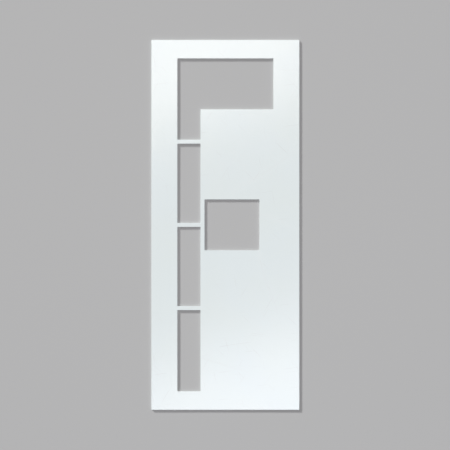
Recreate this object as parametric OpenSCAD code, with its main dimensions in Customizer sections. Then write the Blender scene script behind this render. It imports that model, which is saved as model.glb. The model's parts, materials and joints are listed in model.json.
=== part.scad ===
// Road marking stencil for one capital letter.
// A flat sheet of white polyethylene is laid down where the letter is wanted, and paint is
// rolled or sprayed through the strokes that a router has cut out of it. Narrow bridges of the
// same sheet cross the strokes, so that the long margin beside the stem stays straight.
//
// Millimetres. X runs across the letter, Y up the letter and Z up out of the sheet.
// The origin is at the centre of the sheet's underside.

/* [Letter] */
// Height of the letter
letter_h = 914.4; // [620:0.1:1400]
// Width of the letter, out to the end of its top arm
letter_w = 263.6; // [240:0.1:400]
// Width of the upright stem
stem_w = 63.5; // [30:0.1:130]
// Height of the top arm and of the middle arm
arm_h = 139.7; // [60:0.1:210]
// Reach of the middle arm, from the outer edge of the stem
middle_arm_reach = 225.4; // [110:0.1:260]

/* [Sheet] */
// Plain margin on each side of the letter
side_margin = 71.4; // [20:0.1:150]
// Plain margin above the letter and below it
end_margin = 50.8; // [20:0.1:150]
// Thickness of the sheet
sheet_t = 3.175; // [1.5:0.005:6.5]
// Radius of the sheet's own four corners
corner_r = 1.5; // [0.5:0.1:12]

/* [Bridges] */
// Width of every bridge
bridge_w = 11.1; // [5:0.1:25]

/* [Cutting] */
// Diameter of the router bit, which rounds the inner corners of every window
cutter_d = 3.2; // [1.6:0.1:8]

/* [Hidden] */
$fn = 48;
SHEET_WHITE = [0.90, 0.93, 0.93];
// The bridges part the stem into this many windows of one pitch
stem_windows = 4;
stem_window_pitch = letter_h / stem_windows;
cutter_r = cutter_d / 2;
sheet_w = letter_w + 2 * side_margin;
sheet_l = letter_h + 2 * end_margin;
// Heights above the foot of the letter
top_arm_y = letter_h - arm_h;
middle_arm_y = bridge_y(2) - arm_h / 2;

// Height of a stem bridge's centre line above the foot of the letter, counted from the foot
function bridge_y(n) = n * stem_window_pitch;

// Rectangle from the origin, with all four corners rounded by true arcs
module rounded_rect(w, h, r) {
    translate([r, 0])
        square([w - 2 * r, h]);
    translate([0, r])
        square([w, h - 2 * r]);
    for (x = [r, w - r], y = [r, h - r])
        translate([x, y])
            circle(r);
}

// Outline of the letter as the router cuts it: its inner corners keep the bit's radius, and
// the corners where an arm leaves the stem stay sharp. Origin at the foot of the stem.
module letter_outline() {
    // An arm starts inside the stem, so that it meets the stem along the whole stroke
    arm_start = stem_w / 2;
    rounded_rect(stem_w, letter_h, cutter_r);
    translate([arm_start, top_arm_y])
        rounded_rect(letter_w - arm_start, arm_h, cutter_r);
    translate([arm_start, middle_arm_y])
        rounded_rect(middle_arm_reach - arm_start, arm_h, cutter_r);
}

// The two corner pieces that the bit leaves where a window ends against a bridge's roots.
// They lie along X from 0 to the span, and rise from Y = 0.
module root_fillets(span) {
    // Enough of the window to hold its two rounded corners
    window_end_h = 2 * cutter_d;
    difference() {
        square([span, cutter_r]);
        rounded_rect(span, window_end_h, cutter_r);
    }
}

// Outline of a bridge that crosses a gap along X, centred on Y = 0. Each side named, 1 for +Y
// and -1 for -Y, faces a window and widens into both roots with the bit's radius.
module bridge_outline(span, sides) {
    translate([0, -bridge_w / 2])
        square([span, bridge_w]);
    for (side = sides)
        mirror([0, side < 0 ? 1 : 0])
            translate([0, bridge_w / 2])
                root_fillets(span);
}

// Cuts an outline drawn from the letter's foot out of the sheet's thickness, in its real place
module from_sheet() {
    color(SHEET_WHITE)
        translate([-letter_w / 2, -letter_h / 2, 0])
            linear_extrude(sheet_t)
                children();
}

// The sheet, with the whole letter cut through it
module stencil_sheet() {
    from_sheet()
        difference() {
            translate([-side_margin, -end_margin])
                rounded_rect(sheet_w, sheet_l, corner_r);
            letter_outline();
        }
}

// One of the bridges across the stem, numbered from the foot of the letter
module stem_bridge(n) {
    from_sheet()
        translate([0, bridge_y(n)])
            bridge_outline(stem_w, [-1, 1]);
}

// The upright bridge that shuts the middle arm off from the stem. Its outer side runs on in
// line with the edge of the stem, so only the arm's window rounds its roots.
module arm_bridge() {
    from_sheet()
        translate([stem_w + bridge_w / 2, middle_arm_y])
            rotate(90)
                bridge_outline(arm_h, [-1]);
}

stencil_sheet();
stem_bridge(3);  // upper_stem_bridge
stem_bridge(2);  // middle_stem_bridge
stem_bridge(1);  // lower_stem_bridge
arm_bridge();
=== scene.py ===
import json
import math

import bmesh
import bpy
import numpy as np
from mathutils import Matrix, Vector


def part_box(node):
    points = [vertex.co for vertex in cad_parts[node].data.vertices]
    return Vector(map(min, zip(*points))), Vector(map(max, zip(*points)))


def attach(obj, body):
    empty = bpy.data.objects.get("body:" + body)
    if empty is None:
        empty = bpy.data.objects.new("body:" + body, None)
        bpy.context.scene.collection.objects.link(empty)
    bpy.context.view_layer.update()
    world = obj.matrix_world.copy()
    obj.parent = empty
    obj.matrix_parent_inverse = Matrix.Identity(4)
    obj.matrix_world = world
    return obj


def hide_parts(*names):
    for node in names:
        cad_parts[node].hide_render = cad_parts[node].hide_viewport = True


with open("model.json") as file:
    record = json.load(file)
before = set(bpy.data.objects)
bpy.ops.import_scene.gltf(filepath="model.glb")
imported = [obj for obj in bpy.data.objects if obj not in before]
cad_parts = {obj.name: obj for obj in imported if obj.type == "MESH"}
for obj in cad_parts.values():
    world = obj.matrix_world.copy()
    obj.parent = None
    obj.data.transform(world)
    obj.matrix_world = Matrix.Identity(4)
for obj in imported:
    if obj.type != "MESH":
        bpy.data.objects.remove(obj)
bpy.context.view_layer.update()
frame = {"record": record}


# Camera
# The picture is taken from straight above the middle of the sheet, with the letter upright in it.
# A long lens keeps the sides of the cuts out of sight, as they are in the photograph.

PICTURE_PX = 450
METRES_PER_PX = 0.002747
SHEET_CENTRE_PX = (225.4, 224.9)
LENS_MM = 120
SENSOR_MM = 36

sheet_low, sheet_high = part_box("stencil_sheet")
view_width = PICTURE_PX * METRES_PER_PX
camera_data = bpy.data.cameras.new("overhead_camera")
camera_data.lens = LENS_MM
camera_data.sensor_width = SENSOR_MM
camera = bpy.data.objects.new("overhead_camera", camera_data)
camera.location = (
    (PICTURE_PX / 2 - SHEET_CENTRE_PX[0]) * METRES_PER_PX,
    (SHEET_CENTRE_PX[1] - PICTURE_PX / 2) * METRES_PER_PX,
    sheet_high.z + view_width * LENS_MM / SENSOR_MM,
)
bpy.context.scene.collection.objects.link(camera)
bpy.context.scene.camera = camera


# Sheet
# One flat sheet of extruded white polyethylene, an eighth of an inch thick. A router has cut the
# letter out of it with a small round bit, and a scraper has taken the sharpness off every edge.
# It lies loose, flat but for a shallow wave that it keeps from the extruder's rolls.

# Rounding of every edge by the scraper
EDGE_ROUND = 0.00035
# Radii in plan of the sheet's own corners, and of the one where the top arm leaves the stem
SHEET_CORNER = 0.0015
STROKE_CORNER = 0.0006
# How far each window's box in the record stops short of the cut edges
OPENING_GAP = 0.0005
# How far past the fillet at its root each bridge is parted from the sheet
BRIDGE_CUT = 0.0004
# The shallow wave, and its lengths across the letter and up it
WAVE_HEIGHT = 0.0006
WAVE_LENGTH = (0.83, 0.61)
# Fineness of the mesh: the widest gap in its grid, the steps of a corner's arc, which are even in
# number, those of a quarter round at an edge, and the digits to which meeting points agree
GRID_GAP = 0.012
ARC_STEPS = 6
ROUND_STEPS = 4
MERGE_DIGITS = 7

sheet_t = sheet_high.z
windows = {
    opening["name"]: np.array(opening["box_m"])[:, :2] + [[-OPENING_GAP], [OPENING_GAP]]
    for opening in frame["record"]["physics"]["openings"]
}
stem_names = [
    "stem_window_foot",
    "stem_window_below_middle",
    "stem_window_above_middle",
    "stem_window_top",
]
(stem_left, _), (stem_right, _) = windows["stem_window_foot"]
(_, top_arm_low), (top_arm_end, letter_top) = windows["top_arm_window"]
(arm_left, arm_low), (_, arm_high) = windows["middle_arm_window"]
bridge_lows = [windows[name][1, 1] for name in stem_names[:-1]]
bridge_highs = [windows[name][0, 1] for name in stem_names[1:]]
# A stem bridge's solid is taller than the bridge by the bit's radius on both sides, at its roots
solid_low, solid_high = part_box("lower_stem_bridge")
cutter_r = (solid_high.y - solid_low.y - (bridge_highs[0] - bridge_lows[0])) / 2
root = cutter_r + BRIDGE_CUT


def grid_lines(axis, extra):
    """Positions of the sheet's grid lines along X (0) or Y (1): one on the inner side of each edge's
    rounding, one where each corner's arc ends, the extra ones, and even steps between them all."""
    lows = np.array([box[0, axis] for box in windows.values()])
    highs = np.array([box[1, axis] for box in windows.values()])
    marks = [
        [sheet_low[axis] + EDGE_ROUND, sheet_low[axis] + SHEET_CORNER],
        [sheet_high[axis] - EDGE_ROUND, sheet_high[axis] - SHEET_CORNER],
        lows - EDGE_ROUND,
        lows + cutter_r,
        highs + EDGE_ROUND,
        highs - cutter_r,
        extra,
    ]
    marks = np.unique(np.round(np.concatenate(marks), MERGE_DIGITS))
    runs = [
        np.linspace(a, b, math.ceil((b - a) / GRID_GAP), endpoint=False)
        for a, b in zip(marks[:-1], marks[1:])
    ]
    return np.append(np.concatenate(runs), marks[-1])


grid = (
    grid_lines(0, [stem_right + STROKE_CORNER, stem_left + root, stem_right - root]),
    grid_lines(1, [top_arm_low - STROKE_CORNER, arm_low + root, arm_high - root]),
)


def cut_edge(corners, radii):
    """One closed edge of the sheet in plan, with the material on its left.

    The line runs inside the edge by the edge's rounding. A corner's turn is 1 where the material is
    convex and -1 where it is hollow. The centre of its arc lies one radius inside a convex corner, or
    out in the window at a hollow one, and a point of the arc is
    centre + (turn * radius - rounding) * outward, while outward swings from one side to the next.
    The straight sides between the arcs have a point on every grid line. A fan of quads from the
    corner's own grid point fills what the grid's square cells leave beside each arc.

    Gives the line's points, their outward directions, the fans, and the low and high corners of the
    squares of the grid that the fans of the convex corners replace."""
    corners, radii = np.array(corners), np.array(radii)[:, None]
    forward = np.roll(corners, -1, axis=0) - corners
    forward /= np.linalg.norm(forward, axis=1, keepdims=True)
    left = np.stack([-forward[:, 1], forward[:, 0]], axis=1)
    left_before = np.roll(left, 1, axis=0)
    turn = np.sum(np.roll(forward, 1, axis=0) * -left, axis=1, keepdims=True)
    inward = left_before + left
    inner = corners + EDGE_ROUND * inward
    centre = corners + turn * radii * inward
    swing = np.linspace(0, math.pi / 2, ARC_STEPS + 1)[None, :, None]
    arc_outward = -(np.cos(swing) * left_before[:, None] + np.sin(swing) * left[:, None])
    arcs = centre[:, None] + (turn * radii - EDGE_ROUND)[:, None] * arc_outward
    # A grid line this near the end of an arc is the one that the arc ends on
    near = EDGE_ROUND / 10
    points, outward = [], []
    for k, following in enumerate(np.roll(np.arange(len(corners)), -1)):
        axis = int(np.argmax(np.abs(forward[k])))
        low, high = sorted([arcs[k, -1, axis], arcs[following, 0, axis]])
        stops = grid[axis][(grid[axis] > low + near) & (grid[axis] < high - near)]
        side = np.tile(arcs[k, -1], (len(stops), 1))
        side[:, axis] = stops[:: round(forward[k, axis])]
        points += [arcs[k], side]
        outward += [arc_outward[k], np.tile(-left[k], (len(stops), 1))]
    fan_starts, fan_middles, fan_ends = arcs[:, :-1:2], arcs[:, 1::2], arcs[:, 2::2]
    hubs = np.where(turn > 0, centre, inner)[:, None].repeat(fan_starts.shape[1], axis=1)
    fans = np.stack([hubs, fan_starts, fan_middles, fan_ends], axis=2).reshape(-1, 4, 2)
    squares = np.stack([np.minimum(centre, inner), np.maximum(centre, inner)], axis=1)
    return np.concatenate(points), np.concatenate(outward), fans, squares[turn[:, 0] > 0]


def window_corners(low, high):
    """A rectangular window's corners, clockwise, so that the material is on the left."""
    return [(low[0], low[1]), (low[0], high[1]), (high[0], high[1]), (high[0], low[1])]


outline = window_corners(sheet_low, sheet_high)[::-1]
top_window = [
    (stem_left, bridge_highs[-1]),
    (stem_left, letter_top),
    (top_arm_end, letter_top),
    (top_arm_end, top_arm_low),
    (stem_right, top_arm_low),
    (stem_right, bridge_highs[-1]),
]
plain_windows = [windows[name] for name in [*stem_names[:-1], "middle_arm_window"]]
edges = [
    cut_edge(outline, [SHEET_CORNER] * 4),
    cut_edge(top_window, [cutter_r] * 4 + [STROKE_CORNER, cutter_r]),
    *[cut_edge(window_corners(low, high), [cutter_r] * 4) for low, high in plain_windows],
]
edge_points, edge_outward, corner_fans, corner_squares = zip(*edges)


def flat_faces(fans, squares):
    """The faces of the sheet in plan, as quads: every cell of the grid that no window and no convex
    corner's square takes away, and the fans at the corners."""
    xs, ys = grid
    x, y = np.meshgrid((xs[:-1] + xs[1:]) / 2, (ys[:-1] + ys[1:]) / 2, indexing="ij")
    gone = np.zeros(x.shape, bool)
    for low, high in [*windows.values(), *squares]:
        gone |= (x > low[0]) & (x < high[0]) & (y > low[1]) & (y < high[1])
    i, j = np.nonzero(~gone)
    cells = np.stack([xs[[i, i + 1, i + 1, i]], ys[[j, j, j + 1, j + 1]]], axis=2)
    return np.concatenate([cells.transpose(1, 0, 2), fans])


def raised(plan, z, facing):
    """Faces in plan at one height, with their normals straight up (1) or down (-1)."""
    place = np.concatenate([plan, np.full((*plan.shape[:2], 1), z)], axis=2)[:, ::facing]
    return place, np.broadcast_to([0.0, 0.0, facing], place.shape)


def cut_wall(points, outward):
    """The wall of a cut: a profile carried along the edge's line. The profile is a quarter circle from
    the upper face, a straight drop, and a quarter circle to the underside, and its normal is
    sin(angle) * outward + cos(angle) * up."""
    quarter = np.linspace(0, math.pi / 2, ROUND_STEPS + 1)
    angle = np.concatenate([quarter, quarter + math.pi / 2])
    middle = np.repeat([sheet_t - EDGE_ROUND, EDGE_ROUND], ROUND_STEPS + 1)
    out = np.sin(angle)[None, :, None] * outward[:, None]
    up = np.broadcast_to(np.cos(angle), out.shape[:2])[..., None]
    normal = np.concatenate([out, up], axis=2)
    place = EDGE_ROUND * normal
    place[..., :2] += points[:, None]
    place[..., 2] += middle
    quads = []
    for rows in (place, normal):
        beside = np.roll(rows, -1, axis=0)
        corners = [rows[:, :-1], rows[:, 1:], beside[:, 1:], beside[:, :-1]]
        quads.append(np.stack(corners, axis=2).reshape(-1, 4, 3))
    return quads


def laid(place, normal):
    """The sheet as it lies: raised by half the wave's height times 1 - cos(x) cos(y), with x and y as
    angles that turn once in each length of the wave. The normals lean by the slopes of that height."""
    x, y = (2 * math.pi / length * place[..., k] for k, length in enumerate(WAVE_LENGTH))
    half = WAVE_HEIGHT / 2
    slope_x = half * np.sin(x) * np.cos(y) * 2 * math.pi / WAVE_LENGTH[0]
    slope_y = half * np.cos(x) * np.sin(y) * 2 * math.pi / WAVE_LENGTH[1]
    lifted, leaning = place.copy(), normal.copy()
    lifted[..., 2] += half * (1 - np.cos(x) * np.cos(y))
    leaning[..., 0] -= slope_x * normal[..., 2]
    leaning[..., 1] -= slope_y * normal[..., 2]
    return lifted, leaning / np.linalg.norm(leaning, axis=2, keepdims=True)


plan = flat_faces(np.concatenate(corner_fans), np.concatenate(corner_squares))
walls = [cut_wall(points, outward) for points, outward in zip(edge_points, edge_outward)]
skins = [raised(plan, sheet_t, 1), raised(plan, 0.0, -1), *walls]
faces, normals = laid(*(np.concatenate(part) for part in zip(*skins)))
face_middles = faces.mean(axis=1)


def in_plan(low, high):
    """Which faces of the whole sheet lie in a rectangle of the plan."""
    return np.all((face_middles[:, :2] > low) & (face_middles[:, :2] < high), axis=1)


class Signal:
    """An output socket of a material's nodes. Sums and products of signals add Math nodes."""

    def __init__(self, tree, socket=None):
        self.tree = tree
        self.socket = socket

    def node(self, kind, settings, sockets, output=0):
        """Adds a node of a kind to the tree: first its settings, then its sockets' values and links."""
        made = self.tree.nodes.new(kind)
        for name, value in settings.items():
            setattr(made, name, value)
        for name, value in sockets.items():
            if isinstance(value, Signal):
                self.tree.links.new(value.socket, made.inputs[name])
            else:
                made.inputs[name].default_value = value
        return Signal(self.tree, made.outputs[output])

    def math(self, operation, first, second):
        return self.node("ShaderNodeMath", {"operation": operation}, {0: first, 1: second})

    def __add__(self, other):
        return self.math("ADD", self, other)

    def __mul__(self, other):
        return self.math("MULTIPLY", self, other)

    __radd__ = __add__
    __rmul__ = __mul__

    def between(self, low, high):
        """0 below low, 1 above high, and a smooth step from one to the other."""
        return self.node(
            "ShaderNodeMapRange",
            {"interpolation_type": "SMOOTHSTEP"},
            {"Value": self, "From Min": low, "From Max": high},
        )

    def tint(self, first, second):
        """The first colour where the signal is 0 and the second where it is 1. A Mix node has its
        colours at inputs 6 and 7, and their mix at output 2."""
        return self.node(
            "ShaderNodeMix", {"data_type": "RGBA"}, {0: self, 6: first, 7: second}, output=2
        )


def white_polyethylene():
    """Extruded white polyethylene: a cool, waxy white with a satin gloss over a fine grain. The gloss
    changes in patches and in long die lines up the sheet, and handling has left light scuffs and
    hairlines. The routed walls are rougher, with the marks of the bit, and are painted a little greyer as
    shade, which keeps the walls that face the low key lamp from reaching white."""
    resin = (0.775, 0.850, 0.845, 1)
    cool_resin = (0.768, 0.846, 0.855, 1)
    scuffed = (0.70, 0.745, 0.745, 1)
    # Painted shade: the greyer colour of the walls and edge roundings, set low so that the walls lit by
    # the key lamp stay below white
    routed_painted_shade = (0.70, 0.755, 0.75, 1)
    refraction = 1.51
    # How much of the scuffed colour the marks of handling show
    scuff_share = 0.22
    hairline_share = 0.5
    # Ways that those marks run, in radians
    scuff_turns = (0.35, 1.25, 2.2)
    hairline_turns = (0.2, 0.8, 1.7, 2.6)
    # Levels of noise at which the cool tone or a mark begins, and at which it is full
    cool_levels = (0.3, 0.7)
    scuff_levels = (0.66, 0.78)
    hairline_levels = (0.72, 0.78)
    # Roughness of the bare resin, and what the rest adds to it
    bare_roughness = 0.13
    patch_roughness = 0.05
    die_line_roughness = 0.05
    scuff_roughness = 0.10
    wall_roughness = 0.20
    # Heights of the relief in metres
    die_line_relief = 0.000007
    grain_relief = 0.00004
    tool_mark_relief = 0.000032

    material = bpy.data.materials.new("white_polyethylene")
    material.use_nodes = True
    tree = material.node_tree
    shader = tree.nodes["Principled BSDF"]
    start = Signal(tree)
    place = start.node("ShaderNodeTexCoord", {}, {}, output="Object")
    wall = start.node("ShaderNodeAttribute", {"attribute_name": "cut_wall"}, {}, output="Fac")

    def noise(per_metre, detail, drawn_out=(1, 1, 1), turned=0.0):
        """Smooth noise from 0 to 1, so many spots to a metre, drawn out along axes turned about Z."""
        spot = start.node(
            "ShaderNodeMapping",
            {"vector_type": "TEXTURE"},
            {"Vector": place, "Rotation": (0, 0, turned), "Scale": drawn_out},
        )
        return start.node("ShaderNodeTexNoise", {}, {"Vector": spot, "Scale": per_metre, "Detail": detail})

    patches = noise(per_metre=5.0, detail=2.0)
    die_lines = noise(per_metre=160.0, detail=3.0, drawn_out=(1, 80, 5))
    grain = noise(per_metre=620.0, detail=2.0)
    tool_marks = noise(per_metre=900.0, detail=1.0, drawn_out=(1, 1, 20))
    scuffs = sum(
        noise(per_metre=26.0, detail=4.0, drawn_out=(1, 16, 1), turned=turned).between(*scuff_levels)
        for turned in scuff_turns
    )
    hairlines = sum(
        noise(per_metre=330.0, detail=1.0, drawn_out=(1, 30, 1), turned=turned).between(*hairline_levels)
        for turned in hairline_turns
    )

    body = patches.between(*cool_levels).tint(resin, cool_resin)
    body = (scuff_share * scuffs + hairline_share * hairlines).tint(body, scuffed)
    # The walls and edge roundings take the greyer colour, which is painted shade and not the resin's own
    colour = wall.tint(body, routed_painted_shade)
    roughness = (
        bare_roughness
        + patch_roughness * patches
        + die_line_roughness * die_lines
        + scuff_roughness * scuffs
        + wall_roughness * wall
    )
    relief = die_line_relief * die_lines + grain_relief * grain + tool_mark_relief * wall * tool_marks
    bump = start.node(
        "ShaderNodeBump", {}, {"Height": relief, "Strength": 1.0, "Distance": 1.0}, output="Normal"
    )
    tree.links.new(colour.socket, shader.inputs["Base Color"])
    tree.links.new(roughness.socket, shader.inputs["Roughness"])
    tree.links.new(bump.socket, shader.inputs["Normal"])
    shader.inputs["IOR"].default_value = refraction
    return material


polyethylene = white_polyethylene()


def cut_piece(name, node, chosen):
    """A piece of the sheet: the chosen faces, joined where their corners meet, with the ends where it
    runs on into the next piece closed flat. The faces keep the sheet's normals, and the ends their
    own. It takes the place of its solid."""
    corners, corner_normals = faces[chosen].reshape(-1, 3), normals[chosen].reshape(-1, 3)
    points, first, index = np.unique(
        np.round(corners, MERGE_DIGITS), axis=0, return_index=True, return_inverse=True
    )
    point_normals = corner_normals[first]
    quads = index.reshape(-1, 4)
    mesh = bpy.data.meshes.new(name)
    mesh.from_pydata(points.tolist(), [], quads.tolist())
    shape = bmesh.new()
    shape.from_mesh(mesh)
    bmesh.ops.holes_fill(shape, edges=[e for e in shape.edges if e.is_boundary], sides=0)
    bmesh.ops.recalc_face_normals(shape, faces=shape.faces)
    shape.to_mesh(mesh)
    shape.free()
    wall = mesh.attributes.new("cut_wall", "FLOAT", "POINT")
    wall.data.foreach_set("value", (1 - np.abs(point_normals[:, 2])).astype(np.float32))
    mesh.polygons.foreach_set("use_smooth", np.arange(len(mesh.polygons)) < len(quads))
    loop_points = np.empty(len(mesh.loops), np.int32)
    mesh.loops.foreach_get("vertex_index", loop_points)
    # A normal of zero leaves the corner of an end, which follows the quads, with its own
    loop_normals = point_normals[loop_points]
    loop_normals[quads.size :] = 0
    mesh.normals_split_custom_set(loop_normals.tolist())
    mesh.materials.append(polyethylene)
    piece = bpy.data.objects.new(name, mesh)
    bpy.context.scene.collection.objects.link(piece)
    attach(piece, "root")
    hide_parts(node)


stem_bridges = [
    in_plan((stem_left + root, low - EDGE_ROUND), (stem_right - root, high + EDGE_ROUND))
    for low, high in zip(bridge_lows, bridge_highs)
]
arm_bridge = in_plan((stem_right - root, arm_low + root), (arm_left + cutter_r, arm_high - root))
cut_piece("letter_sheet", "stencil_sheet", ~np.logical_or.reduce([*stem_bridges, arm_bridge]))


# Stem bridges
# Three narrow strips of the same sheet that the router leaves across the stem. They hold the long
# margin beside the letter, and run into the sheet at both ends with the bit's radius.

for place, chosen in zip(("lower", "middle", "upper"), stem_bridges):
    cut_piece(f"{place}_stem_strip", f"{place}_stem_bridge", chosen)


# Arm bridge
# The upright strip of the same sheet that parts the middle arm's window from the stem. Its outer
# edge runs on in line with the stem's, and the middle stem bridge ends on it.

cut_piece("arm_strip", "arm_bridge", arm_bridge)


# Floor and light
# A plain pale floor that fades into an even backdrop of its own tone, under plain soft light: a low
# key lamp from the upper left, which casts the short shadows inside the windows, and two large panels
# overhead that show as a soft gloss at both ends of the sheet.

FLOOR_SIZE = 60.0
FLOOR_DROP = 0.0002
FLOOR_COLOUR = (0.49, 0.50, 0.50, 1)
BACKDROP = (0.46, 0.46, 0.46, 1)
ROOM_LIGHT = (0.128, 0.128, 0.128, 1)
# Distances from the middle of the sheet between which the floor fades
FADE_START = 0.9
FADE_END = 3.0


def seen_straight(start):
    """1 for what the camera sees, itself, in a gloss or through glass, and 0 for light that falls on a
    surface."""
    rays = ("Is Camera Ray", "Is Glossy Ray", "Is Transmission Ray")
    return sum(start.node("ShaderNodeLightPath", {}, {}, output=ray) for ray in rays)


floor_half = FLOOR_SIZE / 2
floor_corners = window_corners((-floor_half, -floor_half), (floor_half, floor_half))[::-1]
floor_mesh = bpy.data.meshes.new("floor")
floor_mesh.from_pydata([(x, y, -FLOOR_DROP) for x, y in floor_corners], [], [(0, 1, 2, 3)])
floor = bpy.data.objects.new("floor", floor_mesh)
floor_material = bpy.data.materials.new("pale_floor")
floor_material.use_nodes = True
floor_tree = floor_material.node_tree
floor_shader = floor_tree.nodes["Principled BSDF"]
floor_shader.inputs["Base Color"].default_value = FLOOR_COLOUR
floor_shader.inputs["Roughness"].default_value = 1.0
floor_shader.inputs["Specular IOR Level"].default_value = 0.0
floor_start = Signal(floor_tree)
floor_place = floor_start.node("ShaderNodeTexCoord", {}, {}, output="Object")
far = floor_start.node("ShaderNodeVectorMath", {"operation": "LENGTH"}, {0: floor_place}, output="Value")
fade = far.between(FADE_START, FADE_END) * seen_straight(floor_start)
glow = floor_start.node("ShaderNodeEmission", {}, {"Color": BACKDROP})
lit = Signal(floor_tree, floor_shader.outputs["BSDF"])
faded = floor_start.node("ShaderNodeMixShader", {}, {0: fade, 1: lit, 2: glow})
floor_tree.links.new(faded.socket, floor_tree.nodes["Material Output"].inputs["Surface"])
floor_mesh.materials.append(floor_material)
bpy.context.scene.collection.objects.link(floor)

world = bpy.data.worlds.new("soft_room")
world.use_nodes = True
room_colour = seen_straight(Signal(world.node_tree)).tint(ROOM_LIGHT, BACKDROP)
world.node_tree.links.new(room_colour.socket, world.node_tree.nodes["Background"].inputs["Color"])
bpy.context.scene.world = world

# Height of the key lamp above the horizon, and its turn from the top of the letter to the left
KEY_HEIGHT = math.radians(17)
KEY_TURN = math.radians(44)
KEY_SPREAD = math.radians(8)
PANEL_HEIGHT = 6.0


def lamp(name, kind, place, turned, power, colour, **settings):
    """A lamp at a place, turned about X, Y and Z from facing straight down, with its own settings."""
    data = bpy.data.lights.new(name, kind)
    data.energy = power
    data.color = colour
    for setting, value in settings.items():
        setattr(data, setting, value)
    made = bpy.data.objects.new(name, data)
    made.location = place
    made.rotation_euler = turned
    bpy.context.scene.collection.objects.link(made)
    return made


key_lamp = lamp(
    "key_lamp",
    "SUN",
    place=(0, 0, PANEL_HEIGHT),
    turned=(KEY_HEIGHT - math.pi / 2, 0, KEY_TURN),
    power=4.2,
    colour=(1.0, 0.99, 0.98),
    angle=KEY_SPREAD,
)
# The key leaves no glare of its own on the sheet, as behind a polarising filter
key_lamp.visible_glossy = False
lamp(
    "upper_panel",
    "AREA",
    place=(-0.62, 1.61, PANEL_HEIGHT),
    turned=(0, 0, math.radians(12)),
    power=103,
    colour=(1.0, 0.935, 0.92),
    shape="RECTANGLE",
    size=2.7,
    size_y=1.9,
)
lamp(
    "lower_panel",
    "AREA",
    place=(0.5, -1.6, PANEL_HEIGHT),
    turned=(0, 0, math.radians(18)),
    power=86,
    colour=(0.93, 0.92, 1.0),
    shape="RECTANGLE",
    size=2.6,
    size_y=1.7,
)

bpy.context.scene.view_settings.view_transform = "Standard"
